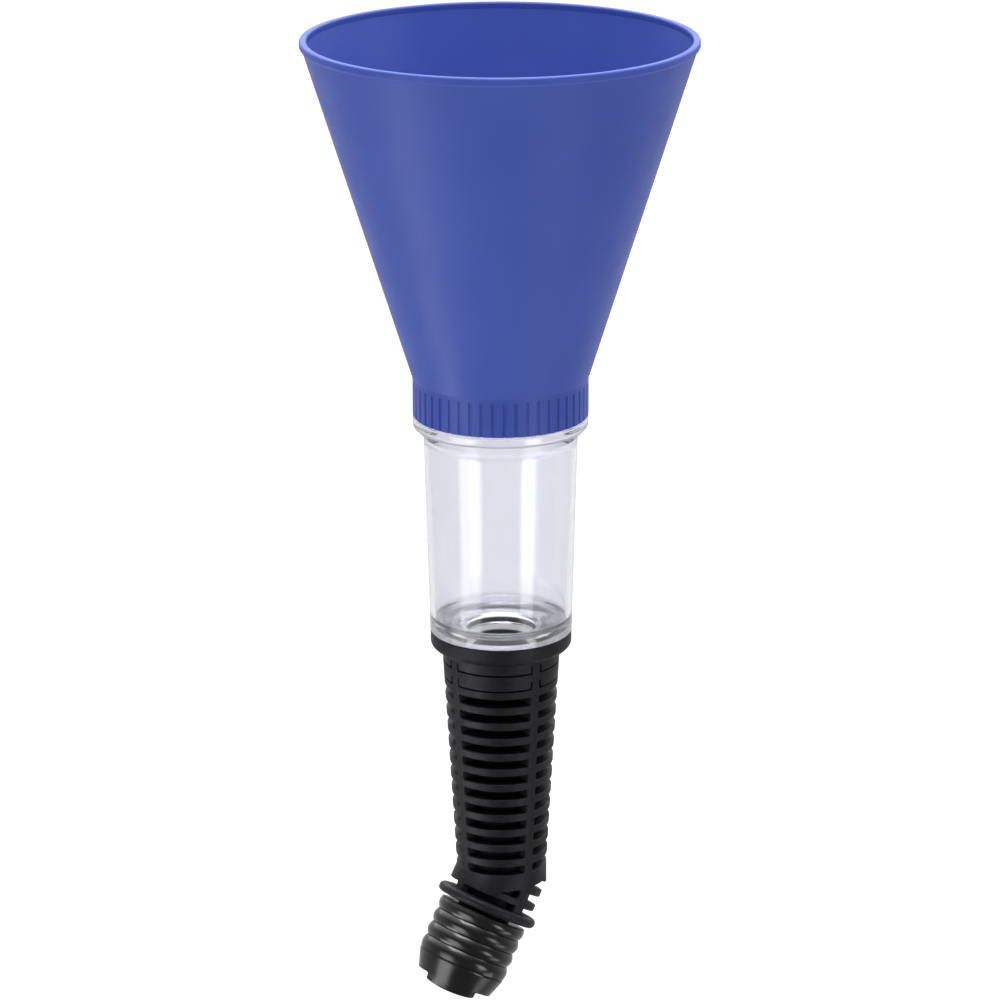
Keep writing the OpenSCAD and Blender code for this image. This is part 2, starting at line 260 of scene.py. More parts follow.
class Nodes:
    """Short calls for building one material's node tree."""

    def __init__(self, name):
        self.material = bpy.data.materials.new(name)
        self.material.use_nodes = True
        self.tree = self.material.node_tree
        self.shader = self.tree.nodes["Principled BSDF"]
        self.place = self.tree.nodes.new("ShaderNodeTexCoord").outputs["Object"]

    def set(self, **values):
        for key, value in values.items():
            self.shader.inputs[key.replace("_", " ")].default_value = value

    def link(self, out, to):
        self.tree.links.new(out, to)

    def noise(self, scale, detail=3, stretch=(1, 1, 1)):
        mapping = self.tree.nodes.new("ShaderNodeMapping")
        mapping.inputs["Scale"].default_value = stretch
        self.link(self.place, mapping.inputs["Vector"])
        noise = self.tree.nodes.new("ShaderNodeTexNoise")
        noise.inputs["Scale"].default_value = scale
        noise.inputs["Detail"].default_value = detail
        self.link(mapping.outputs["Vector"], noise.inputs["Vector"])
        return noise.outputs["Fac"]

    def span(self, value, low, high):
        """Maps a noise from 0.3..0.7 to low..high."""
        node = self.tree.nodes.new("ShaderNodeMapRange")
        node.inputs["From Min"].default_value = 0.3
        node.inputs["From Max"].default_value = 0.7
        node.inputs["To Min"].default_value = low
        node.inputs["To Max"].default_value = high
        self.link(value, node.inputs["Value"])
        return node.outputs["Result"]

    def rise(self, value, start, end):
        """0 below start and 1 above end (or the other way round), with a soft step between."""
        node = self.tree.nodes.new("ShaderNodeMapRange")
        node.interpolation_type = "SMOOTHSTEP"
        flip = start > end
        node.inputs["From Min"].default_value = min(start, end)
        node.inputs["From Max"].default_value = max(start, end)
        node.inputs["To Min"].default_value = 1 if flip else 0
        node.inputs["To Max"].default_value = 0 if flip else 1
        self.link(value, node.inputs["Value"])
        return node.outputs["Result"]

    def math(self, operation, a, b):
        node = self.tree.nodes.new("ShaderNodeMath")
        node.operation = operation
        for socket, value in zip(node.inputs, (a, b)):
            if isinstance(value, (int, float)):
                socket.default_value = value
            else:
                self.link(value, socket)
        return node.outputs["Value"]

    def upwards(self):
        """The place's z coordinate."""
        node = self.tree.nodes.new("ShaderNodeSeparateXYZ")
        self.link(self.place, node.inputs["Vector"])
        return node.outputs["Z"]

    def off_axis(self, point, axis):
        """Distance from the straight line through a point along an axis."""
        shift = self.tree.nodes.new("ShaderNodeVectorMath")
        shift.operation = "SUBTRACT"
        shift.inputs[1].default_value = point
        self.link(self.place, shift.inputs[0])
        cross = self.tree.nodes.new("ShaderNodeVectorMath")
        cross.operation = "CROSS_PRODUCT"
        cross.inputs[1].default_value = axis
        self.link(shift.outputs["Vector"], cross.inputs[0])
        length = self.tree.nodes.new("ShaderNodeVectorMath")
        length.operation = "LENGTH"
        self.link(cross.outputs["Vector"], length.inputs[0])
        return length.outputs["Value"]

    def tint(self, value, dark, light):
        ramp = self.tree.nodes.new("ShaderNodeValToRGB")
        ramp.color_ramp.elements[0].position = 0.35
        ramp.color_ramp.elements[1].position = 0.65
        ramp.color_ramp.elements[0].color = (*dark, 1)
        ramp.color_ramp.elements[1].color = (*light, 1)
        self.link(value, ramp.inputs["Fac"])
        return ramp.outputs["Color"]

    def bump(self, heights):
        """Adds up bumps given as (value, depth in metres)."""
        normal = None
        for value, depth in heights:
            bump = self.tree.nodes.new("ShaderNodeBump")
            bump.inputs["Distance"].default_value = depth
            self.link(value, bump.inputs["Height"])
            if normal:
                self.link(normal, bump.inputs["Normal"])
            normal = bump.outputs["Normal"]
        self.link(normal, self.shader.inputs["Normal"])


PLASTIC_IOR = 1.49


def moulded_blue():
    """Satin polypropylene: even blue, faint clouding and a very fine moulded grain."""
    n = Nodes("blue_plastic")
    cloud = n.noise(18, 2)
    n.link(n.tint(cloud, (0.044, 0.078, 0.362), (0.050, 0.086, 0.385)),
           n.shader.inputs["Base Color"])
    n.link(n.span(n.noise(60, 4), 0.36, 0.46), n.shader.inputs["Roughness"])
    n.set(IOR=PLASTIC_IOR, Specular_IOR_Level=0.22)
    n.bump([(n.noise(2600, 2), 1.2e-6), (n.noise(30, 2, (1, 1, 0.4)), 1.5e-5)])
    return n.material


BASE_MILKY = 0.16
LIP_MILKY = 0.1
MILKY_ROUGHNESS = 0.4
CLEAR_ROUGHNESS = 0.06
CHAMFER_IOR_DROP = 0.42
INNER_IOR_DROP = 0.06
CHAMFER_FADE_BELOW = (1.9, 0.9)
CHAMFER_FADE_ABOVE = (0.4, -0.6)
INNER_REACH = 2


def chamfer_ior(n, up, from_axis, wall_top, lip_base):
    """Index of refraction: the plastic's own, and less around the chamfer under the lip. On the
    cup's inside the low stretch reaches further down, because light leaves the wall lower."""
    inside = n.rise(from_axis, (CUP_TOP_R - 0.3) * MM, (CUP_TOP_R - 1) * MM)
    reach = n.math("ADD", up, n.math("MULTIPLY", inside, INNER_REACH * MM))
    below = [wall_top - h * MM for h in CHAMFER_FADE_BELOW]
    above = [lip_base + h * MM for h in CHAMFER_FADE_ABOVE]
    chamfer = n.math("MULTIPLY", n.rise(reach, *below), n.rise(up, *above))
    drop = n.math("ADD", CHAMFER_IOR_DROP, n.math("MULTIPLY", inside, INNER_IOR_DROP))
    return n.math("SUBTRACT", PLASTIC_IOR, n.math("MULTIPLY", chamfer, drop))


def milkiness(n, up, from_axis, wall_top, lip_base):
    """Share of scattered light in the thick base, outside the outlet, and in the lip."""
    base_top = (CUP_BASE_H + ELBOW_Z + FLOOR_EDGE_H + 0.6) * MM
    base = n.math("MULTIPLY", n.rise(up, base_top + MM, base_top - MM),
                  n.rise(from_axis, CUP_SPIGOT_R * MM, (CUP_SPIGOT_R + 5) * MM))
    lip = n.rise(up, wall_top - 0.5 * MM, lip_base)
    return n.math("ADD", n.math("MULTIPLY", base, BASE_MILKY), n.math("MULTIPLY", lip, LIP_MILKY))


def clear_plastic():
    """Clear moulded plastic, slightly cool, with a faint flow waviness. Its thick base and lip
    are a little milky, and the chamfer under the lip hardly bends the light."""
    n = Nodes("clear_plastic")
    n.set(Base_Color=(0.81, 0.81, 0.85, 1))
    lip_base = (LIP_TOP_H + ELBOW_Z - LIP_H) * MM
    places = (n.upwards(), n.off_axis((AXIS_X * MM, 0, 0), (0, 0, 1)),
              lip_base - LIP_CHAMFER_H * MM, lip_base)
    n.link(chamfer_ior(n, *places), n.shader.inputs["IOR"])
    milky = milkiness(n, *places)
    n.link(n.math("SUBTRACT", 1, milky), n.shader.inputs["Transmission Weight"])
    n.link(n.math("ADD", CLEAR_ROUGHNESS, n.math("MULTIPLY", milky, MILKY_ROUGHNESS)),
           n.shader.inputs["Roughness"])
    n.bump([(n.noise(70, 2, (1, 1, 0.25)), 6e-6)])
    depth = n.tree.nodes.new("ShaderNodeVolumeAbsorption")
    depth.inputs["Color"].default_value = (0.8, 0.8, 0.84, 1)
    depth.inputs["Density"].default_value = 40
    n.link(depth.outputs["Volume"], n.tree.nodes["Material Output"].inputs["Volume"])
    return n.material


# The core inside the slots reflects less than the fins' outer faces. This is painted shade that darkens
# the slots.
CORE_SHADE_SPECULAR = 0.1
FIN_SPECULAR = 0.33


def matte_black():
    """Glass-filled black plastic with a fine spark-eroded texture, and less reflection on the core
    between the fins: painted shade that darkens the slots.
    """
    n = Nodes("black_matte_plastic")
    n.link(n.tint(n.noise(500, 4), (0.0025, 0.0025, 0.0035), (0.006, 0.006, 0.0075)),
           n.shader.inputs["Base Color"])
    from_core = n.math("MINIMUM", n.off_axis((AXIS_X * MM, 0, 0), (0, 0, 1)),
                       n.off_axis((0, 0, 0), NOZZLE_AXIS))
    # Painted shade mask: 0 on the core inside the slots and 1 on the fins, where the full reflection
    # level holds.
    unshaded_share = n.rise(from_core, CORE_R * MM, (CORE_R + 1.5) * MM)
    n.link(n.math("ADD", CORE_SHADE_SPECULAR, n.math("MULTIPLY", unshaded_share, FIN_SPECULAR - CORE_SHADE_SPECULAR)),
           n.shader.inputs["Specular IOR Level"])
    n.set(Specular_Tint=(0.97, 0.95, 1, 1))
    n.link(n.span(n.noise(160, 3), 0.44, 0.6), n.shader.inputs["Roughness"])
    n.bump([(n.noise(3200, 3), 6e-6), (n.noise(420, 2), 8e-6)])
    return n.material


def gloss_black():
    """Smooth black plastic with soft highlights."""
    n = Nodes("black_gloss_plastic")
    n.link(n.tint(n.noise(90, 3), (0.0015, 0.0015, 0.0025), (0.003, 0.003, 0.004)),
           n.shader.inputs["Base Color"])
    n.set(IOR=1.62, Specular_IOR_Level=0.5)
    n.link(n.span(n.noise(140, 4), 0.18, 0.27), n.shader.inputs["Roughness"])
    n.bump([(n.noise(900, 2), 2e-6), (n.noise(110, 2), 1e-5)])
    return n.material


def rubber(name, dark, light):
    n = Nodes(name)
    n.link(n.tint(n.noise(700, 3), dark, light), n.shader.inputs["Base Color"])
    n.link(n.span(n.noise(300, 2), 0.5, 0.7), n.shader.inputs["Roughness"])
    n.bump([(n.noise(2500, 2), 4e-6)])
    return n.material


def spring_steel():
    n = Nodes("ring_steel")
    n.link(n.tint(n.noise(900, 3), (0.36, 0.36, 0.37), (0.5, 0.5, 0.5)), n.shader.inputs["Base Color"])
    n.link(n.span(n.noise(400, 2), 0.25, 0.4), n.shader.inputs["Roughness"])
    n.set(Metallic=1)
    n.bump([(n.noise(1500, 2), 3e-6)])
    return n.material


BLUE = moulded_blue()
CLEAR = clear_plastic()
MATTE_BLACK = matte_black()
GLOSS_BLACK = gloss_black()
GASKET = rubber("gasket_rubber", (0.012, 0.012, 0.013), (0.022, 0.022, 0.023))
WHITE_SEAL = rubber("white_seal", (0.74, 0.74, 0.73), (0.84, 0.84, 0.83))
STEEL = spring_steel()


# ---------------------------------------------------------------- funnel cone and collar

CONE_WALL = 2.2
BEAD_T = 3.0
BEAD_H = 2.6
COLLAR_H = 15.7
SOCKET_R = 33.0
THROAT_R = 30.2
GROOVES = 48
GROOVE_W = 1.1
GROOVE_DEPTH = 0.55
GROOVE_EDGE = 0.4
GROOVE_TOP_GAP = 1.7
GROOVE_ANGLE = math.radians(3)
LAND_OFFSETS = [1.75, 2.35, 2.95]


def groove_angles():
    """Angles around the collar, crowded at the grooves' edges and few on the lands between."""
    half = GROOVE_W / 2
    edge = [half + GROOVE_EDGE / 2 * k for k in (-1, 0, 1, 2)]
    offsets = [-o for o in edge[::-1]] + [0] + edge + LAND_OFFSETS
    return [GROOVE_ANGLE + 2 * math.pi * k / GROOVES + o / COLLAR_R
            for k in range(GROOVES) for o in offsets]


def smooth(t):
    t = min(1, max(0, t))
    return t * t * (3 - 2 * t)


def grooved_radius(r, z, angle):
    """Presses the grip grooves into the collar's outside."""
    top = COLLAR_BASE_H + COLLAR_H - GROOVE_TOP_GAP
    if r < COLLAR_R - 1.2 or z > top + GROOVE_EDGE:
        return r
    pitch = 2 * math.pi / GROOVES
    from_groove = abs((angle - GROOVE_ANGLE + pitch / 2) % pitch - pitch / 2) * COLLAR_R
    across = 1 - smooth((from_groove - GROOVE_W / 2 + GROOVE_EDGE / 2) / GROOVE_EDGE)
    along = 1 - smooth((z - top + GROOVE_EDGE) / (2 * GROOVE_EDGE))
    return min(r, COLLAR_R - GROOVE_DEPTH * across * along)


def make_cone():
    """The cone and its grip collar, as one closed outline turned about the axis."""
    collar_top = COLLAR_BASE_H + COLLAR_H
    slope = (RIM_R - COLLAR_R) / (RIM_H - collar_top)
    inset = CONE_WALL * math.hypot(1, slope)
    socket_top = NECK_TOP_H + 0.4
    groove_top = collar_top - GROOVE_TOP_GAP
    bead_base = RIM_H - BEAD_H
    outer_at_bead = RIM_R - slope * BEAD_H
    outer = [(COLLAR_R + slope * (z - collar_top), z)
             for z in [collar_top + (bead_base - 1 - collar_top) * i / 24 for i in range(1, 24)]]
    inner = [(COLLAR_R - inset + slope * (z - collar_top), z)
             for z in [bead_base - (bead_base - collar_top) * i / 24 for i in range(1, 24)]]
    profile = [(SOCKET_R, COLLAR_BASE_H, 0.2), (COLLAR_R, COLLAR_BASE_H, 0.35)]
    profile += [(COLLAR_R, z) for z in (COLLAR_BASE_H + 1, COLLAR_BASE_H + 5, COLLAR_BASE_H + 9)]
    profile += [(COLLAR_R, groove_top + GROOVE_EDGE * k) for k in (-1, -0.5, 0, 0.5, 1)]
    profile += [(COLLAR_R, collar_top, 1.2)] + outer
    profile += [(outer_at_bead - slope, bead_base - 1, 1.5), (RIM_R, bead_base, 0.8),
                (RIM_R, RIM_H, 0.9), (RIM_R - BEAD_T, RIM_H, 0.9),
                (outer_at_bead - inset, bead_base, 1)]
    profile += inner
    profile += [(COLLAR_R - inset, collar_top, 1), (THROAT_R, socket_top + 0.8, 0.3),
                (THROAT_R, socket_top, 0.2), (SOCKET_R, socket_top)]
    cone = lathe("cone", filleted(profile), angles=groove_angles(), radius_at=grooved_radius)
    return finish_piece(cone, "funnel_cone_shell", "funnel_cone", "funnel", BLUE)


# ---------------------------------------------------------------- seals and hidden ring

GASKET_INSET = 0.25
GASKET_SEAT_W = 0.8
GASKET_RELIEF_H = 0.3


def make_gasket():
    """A flat ring whose outer edge stands clear of the cup's lip."""
    inner, outer = SOCKET_R + 0.05, COLLAR_R - GASKET_INSET
    low, high = LIP_TOP_H + 0.02, COLLAR_BASE_H - 0.02
    seat = SOCKET_R + GASKET_SEAT_W
    profile = [(inner, low, 0.08), (seat, low, 0.08), (seat, LIP_TOP_H + GASKET_RELIEF_H, 0.08),
               (outer, LIP_TOP_H + GASKET_RELIEF_H, 0.15), (outer, high, 0.15), (inner, high, 0.08)]
    return finish_piece(lathe("gasket", filleted(profile)), "collar_gasket_ring", "collar_gasket",
                        "gasket", WHITE_SEAL)


def make_outlet_seal():
    top = CUP_FOOT_H - 0.05
    profile = [(SEAL_BORE_R, SEAL_BASE_H, 0.2), (CUP_SPIGOT_R, SEAL_BASE_H, 0.3),
               (CUP_SPIGOT_R, top, 0.3), (SEAL_BORE_R + SEAL_LEAD_W, top, 0.3),
               (SEAL_BORE_R, top - SEAL_LEAD_H, 0.2)]
    return finish_piece(lathe("seal", filleted(profile)), "outlet_seal_ring", "outlet_seal",
                        "spout", WHITE_SEAL)


# ---------------------------------------------------------------- sight cup

def floor_rings(floor):
    """The fine rings pressed into the cup's dished floor, from the outermost inwards."""
    step_h = CUP_BASE_H + FLOOR_STEP_H
    slope = (floor - step_h) / (CUP_BASE_R - CUP_WALL - STEP_R)
    rows = []
    for ring_r in FLOOR_RINGS:
        h = step_h + slope * (ring_r - STEP_R)
        rise = slope * FLOOR_RING_HALF_W
        rows += [(ring_r + FLOOR_RING_HALF_W, h + rise, FLOOR_RING_EDGE),
                 (ring_r, h - FLOOR_RING_DEPTH, FLOOR_RING_EDGE),
                 (ring_r - FLOOR_RING_HALF_W, h - rise, FLOOR_RING_EDGE)]
    return rows


def make_cup():
    """The clear cup: spigot, base, tapered wall, chamfered lip, neck and dished floor."""
    lip_base = LIP_TOP_H - LIP_H
    wall_top = lip_base - LIP_CHAMFER_H
    neck_bore = CUP_TOP_R - CUP_WALL
    base = CUP_BASE_H + 0.04
    floor = CUP_BASE_H + FLOOR_EDGE_H
    profile = [(OUTLET_R, CUP_FOOT_H, 0.3), (CUP_SPIGOT_R - 0.05, CUP_FOOT_H, 0.3),
               (CUP_SPIGOT_R - 0.05, base, 0.2), (CUP_BASE_R, base, 0.6),
               (CUP_TOP_R, wall_top, 0.8), (COLLAR_R, lip_base, 1.4), (COLLAR_R, LIP_TOP_H, 0.6),
               (NECK_R - 0.1, LIP_TOP_H, 0.3), (NECK_R - 0.1, NECK_TOP_H, 0.4),
               (neck_bore, NECK_TOP_H, 0.4), (neck_bore, wall_top, 4),
               (CUP_BASE_R - CUP_WALL, floor + 0.3, 1.8)]
    profile += floor_rings(floor)
    profile += [(STEP_R, CUP_BASE_H + FLOOR_STEP_H, 0.5), (OUTLET_R + 0.7, CUP_BASE_H + 2.4, 0.4),
                (OUTLET_R, CUP_BASE_H + 1.6, 0.4)]
    cup = lathe("cup", filleted(profile, 6), segments=256)
    return finish_piece(cup, "sight_cup_clear", "sight_cup", "spout", CLEAR, 50)


# ---------------------------------------------------------------- spout

FLANGE_R = 29.3
FLANGE_SIDE_H = 4.4
FLANGE_ROUND_H = 3.5
FLANGE_EDGE = 0.5
TRUNK_TOP_R = 24.2
ELBOW_R = 19
BORE_R = 12.5
ROW_PITCH = 6.93
SLOT_H = 3.6
BLIND_ROWS = 2
ROW_COUNT = 14
RIB_W = 3.9
ROW0_H = CUP_BASE_H - 13.4
LAST_ROW_H = ROW0_H - (ROW_COUNT - 1) * ROW_PITCH
BAND_BASE_H = LAST_ROW_H - ROW_PITCH
BEND_SLOT_L = 0.6
BEND_ROWS = 2
DISC_SLOT_H = 2.9
BLIND_GAP = 0.7
BLIND_DEPTH = 1.6
BLIND_EDGE = 0.2
DISC_TOP_L = 13.4
DISC_T = 4.2
DISC_R = 21.9
DISC_END_L = DISC_TOP_L + DISC_T
DISC_RECESS_R = 19.6
DISC_RECESS_H = 0.4
PLUG_TOP_L = DISC_END_L + 1.5
NECK_OUT_R = 11.4
NECK_END_L = PLUG_TOP_L + 0.8
SPIGOT_R = 10.9
SPIGOT_END_L = 48.3
OUTFLOW_R = 8.6
RING_GROOVE = (-46.4, -45.2)
RING_GROOVE_R = 9.9
O_RING_GROOVE = (-26.6, -24.2)
O_RING_GROOVE_R = 9.7
FAR = 40
EDGE = 0.45
SLOT_CORNER = 0.9


def trunk_r(h):
    """Outer radius of the finned trunk at height h."""
    rise = max(0, h - LAST_ROW_H) / (ROW0_H - LAST_ROW_H)
    return ELBOW_R + (TRUNK_TOP_R - ELBOW_R) * rise


def bent_bar(name, rows_above, rows_below, segments=192):
    """A solid round bar bent at the elbow, from (radius, h) rows above and (radius, L) rows below."""
    bm = bmesh.new()
    tilt = Matrix.Rotation(BEND, 4, "Y")
    rings = []
    for r, h in rows_above:
        rings.append([(r * math.cos(a), r * math.sin(a), h) for a in even_angles(segments)])
    mitre = math.tan(BEND / 2)
    rings.append([(x, y, -x * mitre) for x, y, _ in rings[-1]])
    for r, length in rows_below:
        rings.append([tuple(tilt @ Vector((r * math.cos(a), r * math.sin(a), -length)))
                      for a in even_angles(segments)])
    verts = [[bm.verts.new(co) for co in ring] for ring in rings]
    for upper, lower in zip(verts, verts[1:]):
        for j in range(segments):
            k = (j + 1) % segments
            bm.faces.new((upper[j], upper[k], lower[k], lower[j]))
    bm.faces.new(verts[0])
    bm.faces.new(verts[-1][::-1])
    return add_object(name, bm, FUNNEL_FRAME)


def slot_outline(corner, steps=5, across=22):
    """One slot's outline as (end, run, rise). The place along the slot is a distance run from
    an end, or a share run of the slot's middle if end is None; rise is the share of the height
    and the distance that the corner takes from it."""
    bend = [(corner * (1 - math.sin(a)), corner * (1 - math.cos(a)))
            for a in [math.pi / 2 * i / steps for i in range(steps + 1)]]
    lower = [(0, run, 0, rise) for rise, run in bend]
    lower += [(None, i / across, 0, 0) for i in range(1, across)]
    lower += [(1, run, 0, rise) for rise, run in bend[::-1]]
    return lower


def slot_cutter(bm, turn, low, high, radius_at, edge=EDGE, corner=SLOT_CORNER):
    """Adds one slot's cutter: it reaches from the core out, and its mouth flares to round the fins."""
    lower = slot_outline(corner)
    stations = [(None, 0)]
    stations += [(edge * math.sin(a) - edge, edge * (1 - math.cos(a)))
                 for a in [math.pi / 2 * i / 4 for i in range(5)]]
    stations += [(FAR, edge)]
    loops = []
    for out, flare in stations:
        chains = []
        for top in (False, True):
            chain = []
            for end, run, _, rise in lower:
                z = high + flare - rise if top else low - flare + rise
                r = CORE_R if out is None else (FAR if out == FAR else radius_at(z) + out)
                first = math.asin((RIB_W / 2 - flare) / r)
                last = math.pi / 2 - first
                if end is None:
                    inset = corner / r
                    angle = first + inset + (last - first - 2 * inset) * run
                else:
                    angle = first + run / r if end == 0 else last - run / r
                angle += turn * math.pi / 2
                chain.append(bm.verts.new((r * math.cos(angle), r * math.sin(angle), z)))
            chains.append(chain)
        loops.append(chains)
    count = len(lower)
    for chains in (loops[0], loops[-1]):
        for i in range(count - 1):
            bm.faces.new((chains[0][i], chains[0][i + 1], chains[1][i + 1], chains[1][i]))
    for inner, outer in zip(loops, loops[1:]):
        for a, b in zip(inner, outer):
            for i in range(count - 1):
                bm.faces.new((a[i], a[i + 1], b[i + 1], b[i]))
        for i in (0, count - 1):
            bm.faces.new((inner[0][i], inner[1][i], outer[1][i], outer[0][i]))


def open_slots():
    """Cutters for all the open rows of the trunk."""
    bm = bmesh.new()
    for row in range(BLIND_ROWS, ROW_COUNT):
        low = ROW0_H - row * ROW_PITCH
        for turn in range(4):
            slot_cutter(bm, turn, low, low + SLOT_H, trunk_r)
    return add_object("slots", bm, FUNNEL_FRAME)


def bend_slots():
    """Cutters for the rows of the bend, square to the nozzle. The first rows stay below the
    trunk's solid band; the last one lies on the stop disc and runs the full way round."""
    upper, last = bmesh.new(), bmesh.new()
    for turn in range(4):
        for row in range(BEND_ROWS):
            low = -BEND_SLOT_L - row * ROW_PITCH
            slot_cutter(upper, turn, low, low + SLOT_H, lambda z: ELBOW_R)
        slot_cutter(last, turn, -DISC_TOP_L - EDGE, -DISC_TOP_L + DISC_SLOT_H, lambda z: ELBOW_R)
    slots = add_object("bend_slots", upper, NOZZLE_FRAME)
    band = block("band", (-3 * FAR, -3 * FAR, BAND_BASE_H), (3 * FAR, 3 * FAR, 3 * FAR), FUNNEL_FRAME)
    return join(cut(slots, band), add_object("disc_slot", last, NOZZLE_FRAME))


def slot_ring(name, core, low_r, low_h, high_r, high_h, edge):
    """A flat ring cutter whose mouth flares by the given edge."""
    mouth_low = arc((low_r - edge, low_h - edge), edge, 90, 0, 4)
    mouth_high = arc((high_r - edge, high_h + edge), edge, 0, -90, 4)
    profile = ([(core, low_h)] + mouth_low + [(FAR, low_h - edge), (FAR, high_h + edge)]
               + mouth_high + [(core, high_h)])
    return lathe(name, profile)


def rib_outline(r, edge):
    """Plus-shaped outline of the four long ribs, narrowed by a rounded edge at radius r."""
    half = RIB_W / 2
    reach = math.sqrt(r * r - half * half) - edge
    side = [(reach + x, half - edge + y) for x, y in arc((0, 0), edge, 90, 0, 4)]
    side.append((FAR + 8, half - edge))
    outline = []
    for turn in range(4):
        spin = Matrix.Rotation(turn * math.pi / 2, 2)
        for x, y in [(x, -y) for x, y in side] + side[::-1] + [(half, half)]:
            p = spin @ Vector((x, y))
            outline.append((p.x, p.y))
    return outline


def blind_panels():
    """Cutters for the narrow gaps along the bottom and up both ends of each blind panel."""
    cutters = None
    near = RIB_W / 2 + BLIND_GAP
    for row in range(BLIND_ROWS):
        low = ROW0_H - row * ROW_PITCH
        high = low + SLOT_H
        r = trunk_r(low)
        ring = slot_ring("row", r - BLIND_DEPTH, r, low, FAR - 1, high, BLIND_EDGE)
        for turn in range(4):
            place = FUNNEL_FRAME @ Matrix.Rotation(turn * math.pi / 2, 4, "Z")
            cut(ring, block("panel", (near, near, low + BLIND_GAP), (FAR + 5, FAR + 5, high + 6), place))
        cut(ring, prism("ribs", rib_outline(r, BLIND_EDGE), low - 3, high + 3, FUNNEL_FRAME))
        cutters = ring if cutters is None else join(cutters, ring)
    return cutters


def flange_profile():
    """Rows of the trunk from the flange's top down to the slots, as (radius, h)."""
    round_base = CUP_BASE_H - FLANGE_SIDE_H - FLANGE_ROUND_H
    r = trunk_r(round_base)
    rows = arc((FLANGE_R - FLANGE_EDGE, CUP_BASE_H - FLANGE_EDGE), FLANGE_EDGE, 90, 0, 3)
    rows += [(r + (FLANGE_R - r) * math.cos(math.radians(a)),
              CUP_BASE_H - FLANGE_SIDE_H - FLANGE_ROUND_H * math.sin(math.radians(a)))
             for a in range(0, 80, 6)]
    return rows + [(trunk_r(round_base - 0.6), round_base - 0.6)]


def turned_block(name, r0, r1, h0, h1, place=FUNNEL_FRAME):
    """A plain ring between two radii and two heights, or a round bar if the first radius is 0."""
    return lathe(name, [(r0, h0), (r1, h0), (r1, h1), (r0, h1)], place)


def spout_bores():
    """Cutters for the bores, the seat of the cup's spigot and the grooves of the two rings."""
    top = CUP_BASE_H + 4
    ring_h, ring_top_h = RING_GROOVE
    o_ring_h, o_ring_top_h = O_RING_GROOVE
    return (turned_block("bore", 0, BORE_R, -4, top),
            turned_block("seat", 0, CUP_SPIGOT_R + 0.05, SEAL_BASE_H, top),
            turned_block("bend_bore", 0, BORE_R - 0.5, -DISC_TOP_L - 0.6, 3, NOZZLE_FRAME),
            turned_block("outflow", 0, OUTFLOW_R, -SPIGOT_END_L - 1, -DISC_TOP_L, NOZZLE_FRAME),
            turned_block("ring_groove", RING_GROOVE_R, FAR, ring_h, ring_top_h, NOZZLE_FRAME),
            turned_block("o_ring_groove", O_RING_GROOVE_R, FAR, o_ring_h, o_ring_top_h, NOZZLE_FRAME))


def make_spout():
    """The finned spout with its stop disc and the spigot that the plug turns on."""
    spout = bent_bar("spout", flange_profile() + [(TRUNK_TOP_R, ROW0_H), (ELBOW_R, LAST_ROW_H)],
                     [(ELBOW_R, DISC_TOP_L + 1)])
    cut(spout, open_slots(), blind_panels(), bend_slots())
    stub = [(0, -DISC_TOP_L), (DISC_R, -DISC_TOP_L, 1.9), (DISC_R, -DISC_END_L, 1.9),
            (DISC_RECESS_R, -DISC_END_L), (DISC_RECESS_R, -DISC_END_L + DISC_RECESS_H),
            (NECK_OUT_R, -DISC_END_L + DISC_RECESS_H, 0.3), (NECK_OUT_R, -NECK_END_L, 0.2),
            (SPIGOT_R, -NECK_END_L), (SPIGOT_R, -SPIGOT_END_L, 0.5), (0, -SPIGOT_END_L)]
    join(spout, lathe("stub", filleted(stub), NOZZLE_FRAME))
    cut(spout, *spout_bores())
    return finish_piece(spout, "spout_finned", "spout_body", "spout",
                        MATTE_BLACK, 32)


# ---------------------------------------------------------------- nozzle plug

RIDGE_R = 19.3
RIDGE_PITCH = 6.05
RIDGES = 4
VALLEY_DEPTH = 0.95
TIP_TOP_R = 18.85
TIP_R = 16.5
TIP_EDGE_R = TIP_R - 0.2
TONGUE_W = 21.5
TONGUE_FILLET = 1
TONGUE_CORNER = 0.8
TONGUE_BOW = 1.1
TONGUE_LEAN = 0.5
TONGUE_ANGLE = math.radians(225)
CREASE_W = 0.42
CREASE_DEPTH = 0.5
FIRST_RIDGE_L = PLUG_TOP_L + 2.3
TIP_TOP_L = FIRST_RIDGE_L + RIDGE_PITCH * (RIDGES - 0.5) + 0.75
TIP_END_L = TIP_TOP_L + 7.4
TONGUE_END_L = TIP_END_L + 3.88
TIP_BORE_R = 13.4
RING_L = TIP_TOP_L + 1.9


def ridge_points(crest_l, end_r, steps=12):
    """Outside of one ridge below its upper crease: a round crest that ends in a narrow crease."""
    points = []
    reach = (RIDGE_PITCH - CREASE_W) / 2
    for i in range(-steps, steps + 1):
        t = i / steps
        depth = VALLEY_DEPTH if t < 0 else RIDGE_R - end_r
        fillet = (0.12,) if abs(i) == steps else ()
        points.append((RIDGE_R - depth * abs(t) ** 1.8, -(crest_l + t * reach)) + fillet)
    return points + [(end_r - CREASE_DEPTH, -(crest_l + RIDGE_PITCH / 2), 0.05)]


def tongue_outline():
    """Outline of the long tongue as (distance from its middle, height): filleted where it leaves
    the tip, with rounded corners and a bowed end."""
    half = TONGUE_W / 2
    root = half + 2 * TONGUE_FILLET
    corner_z = -TONGUE_END_L + TONGUE_BOW
    side = [(root, -TIP_END_L + 1), (root, -TIP_END_L)]
    side += arc((half + TONGUE_FILLET, -TIP_END_L - TONGUE_FILLET), TONGUE_FILLET, 90, 180, 5)
    side += arc((half - TONGUE_CORNER, corner_z + TONGUE_CORNER), TONGUE_CORNER, 0, -80, 5)
    edge = half - 2 * TONGUE_CORNER
    bow = [(y, -TONGUE_END_L + TONGUE_BOW * (y / half) ** 2)
           for y in [edge * (1 - i / 8) for i in range(17)]]
    return side + bow + [(-y, z) for y, z in side[::-1]]


